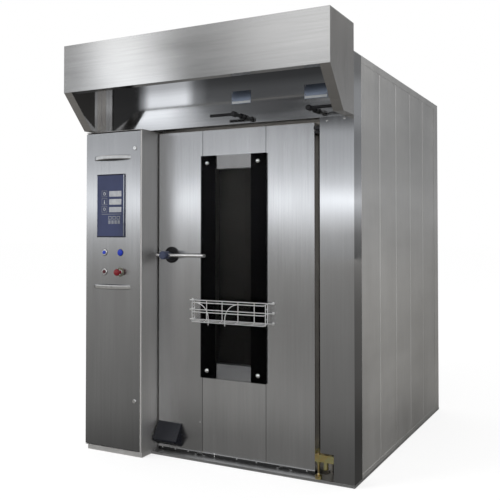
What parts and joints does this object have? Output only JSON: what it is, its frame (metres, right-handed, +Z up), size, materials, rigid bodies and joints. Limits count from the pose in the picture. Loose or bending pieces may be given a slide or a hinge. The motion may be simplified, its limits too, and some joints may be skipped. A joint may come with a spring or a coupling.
{
  "type": "rotating rack oven",
  "caption": "Floor-standing bakery oven: insulated chamber with a turning floor plate, glazed swing door, steam hood and side control cabinet.",
  "frame": {"origin": "on the floor, in the middle of the outline seen from above", "axes": "+X towards the hinge side, on the right when facing the door; +Y towards the back, so the front faces -Y; +Z up"},
  "size_m": [1.68, 2.202, 2.562],
  "materials": {
    "brushed_steel": "brushed along its length",
    "satin_steel": "satin",
    "chamber_steel": "satin, heat-toned",
    "base_steel": "mill finish",
    "pipe_steel": "satin",
    "bright_chrome": "polished",
    "yellow_zinc": "yellow zinc plated",
    "dark_iron": "as cast, oiled",
    "element_steel": "oxidised",
    "motor_paint": "painted",
    "mineral_wool": "matt fibre slab",
    "lamp_glass": "frosted",
    "dark_glass": "polished, dark tinted",
    "black_rubber": "matt",
    "black_plastic": "fine texture",
    "black_paint": "semi-gloss black",
    "electric_plastic": "smooth",
    "display_face": "gloss",
    "blue_plastic": "gloss",
    "red_plastic": "gloss",
    "dark_red_plastic": "gloss"
  },
  "bodies": {
    "casing": {"base_frame": "base_steel", "posts_and_rails": "satin_steel", "side_planks": "satin_steel", "rear_planks": "satin_steel", "roof_panel": "satin_steel", "front_pillars": "brushed_steel", "header_panel": "brushed_steel", "portal_frame": "chamber_steel", "chamber_walls": "chamber_steel", "air_louvres": "chamber_steel", "chamber_ceiling": "chamber_steel", "floor_pan": "chamber_steel", "turntable_bearing": "dark_iron", "insulation": "mineral_wool", "heater_elements": "element_steel", "steam_cascade": "dark_iron", "fan_baffle": "chamber_steel", "service_fittings": "pipe_steel", "chamber_lamps": "lamp_glass", "gear_motor": "motor_paint", "fan_motor": "motor_paint", "flue_pipes": "pipe_steel", "hood_fascia": "brushed_steel", "hood_top": "brushed_steel", "hood_sides": "brushed_steel", "control_box": "brushed_steel", "electrics": "electric_plastic", "hinge_brackets": "yellow_zinc"},
    "door": {"door_left_panel": "brushed_steel", "door_middle_panel": "brushed_steel", "door_right_panel": "brushed_steel", "door_leaf": "satin_steel", "door_wool": "mineral_wool", "door_glasses": "dark_glass", "dome_nuts": "bright_chrome", "door_gasket": "black_rubber", "bottom_seal": "black_rubber", "handle_rosette": "black_plastic", "latch_cover": "black_paint", "wire_basket": "bright_chrome", "door_hinge_arms": "yellow_zinc"},
    "door_handle": {"handle_hub": "black_plastic", "handle_lever": "bright_chrome"},
    "cabinet_door": {"control_door": "brushed_steel", "display_panel": "display_face", "bow_handles": "bright_chrome", "button_bezels": "bright_chrome"},
    "upper_lock": {"upper_lock": "bright_chrome"},
    "lower_lock": {"lower_lock": "bright_chrome"},
    "start_button": {"start_button": "blue_plastic"},
    "lamp_button": {"lamp_button": "blue_plastic"},
    "stop_button": {"stop_button": "dark_red_plastic"},
    "emergency_button": {"emergency_button": "red_plastic"},
    "left_damper": {"damper_left": "pipe_steel", "damper_grip_left": "black_plastic"},
    "right_damper": {"damper_right": "pipe_steel", "damper_grip_right": "black_plastic"},
    "turntable": {"turntable": "chamber_steel"},
    "yoke": {"drive_yoke": "chamber_steel"},
    "fan": {"fan_impeller": "chamber_steel"}
  },
  "joints": [
    {"name": "door_swing", "type": "hinge", "parent": "casing", "child": "door", "pos_m": [0.631, -0.742, 1], "axis": [0, 0, 1], "range_deg": [0, 110]},
    {"name": "handle_turn", "type": "hinge", "parent": "door", "child": "door_handle", "pos_m": [-0.325, -0.744, 1.177], "axis": [0, -1, 0], "range_deg": [0, 90]},
    {"name": "cabinet_door_swing", "type": "hinge", "parent": "casing", "child": "cabinet_door", "pos_m": [-0.833, -0.861, 0.97], "axis": [0, 0, -1], "range_deg": [0, 110]},
    {"name": "upper_lock_turn", "type": "hinge", "parent": "cabinet_door", "child": "upper_lock", "pos_m": [-0.474, -0.854, 1.807], "axis": [0, -1, 0], "range_deg": [0, 90]},
    {"name": "lower_lock_turn", "type": "hinge", "parent": "cabinet_door", "child": "lower_lock", "pos_m": [-0.474, -0.854, 0.324], "axis": [0, -1, 0], "range_deg": [0, 90]},
    {"name": "left_damper_turn", "type": "hinge", "parent": "casing", "child": "left_damper", "pos_m": [0.18, -0.764, 1.96], "axis": [0, 1, 0], "range_deg": [0, 90]},
    {"name": "right_damper_turn", "type": "hinge", "parent": "casing", "child": "right_damper", "pos_m": [0.625, -0.764, 1.96], "axis": [0, -1, 0], "range_deg": [0, 90]},
    {"name": "turntable_spin", "type": "hinge", "parent": "casing", "child": "turntable", "pos_m": [0.0955, -0.0425, 0.025], "axis": [0, 0, 1], "continuous": true},
    {"name": "yoke_spin", "type": "hinge", "parent": "casing", "child": "yoke", "pos_m": [0.0955, -0.0425, 1.84], "axis": [0, 0, 1], "continuous": true},
    {"name": "fan_spin", "type": "hinge", "parent": "casing", "child": "fan", "pos_m": [0.0955, 0.742, 1.76], "axis": [0, 0, 1], "continuous": true},
    {"name": "start_press", "type": "slide", "parent": "cabinet_door", "child": "start_button", "axis": [0, 1, 0], "range_m": [0, 0.004], "stiffness_N_per_m": 800},
    {"name": "lamp_press", "type": "slide", "parent": "cabinet_door", "child": "lamp_button", "axis": [0, 1, 0], "range_m": [0, 0.004], "stiffness_N_per_m": 800},
    {"name": "stop_press", "type": "slide", "parent": "cabinet_door", "child": "stop_button", "axis": [0, 1, 0], "range_m": [0, 0.004], "stiffness_N_per_m": 800},
    {"name": "emergency_press", "type": "slide", "parent": "cabinet_door", "child": "emergency_button", "axis": [0, 1, 0], "range_m": [0, 0.005], "stiffness_N_per_m": 800}
  ],
  "couplings": [
    {"joint": "yoke_spin", "follows": "turntable_spin", "ratio": 1}
  ]
}
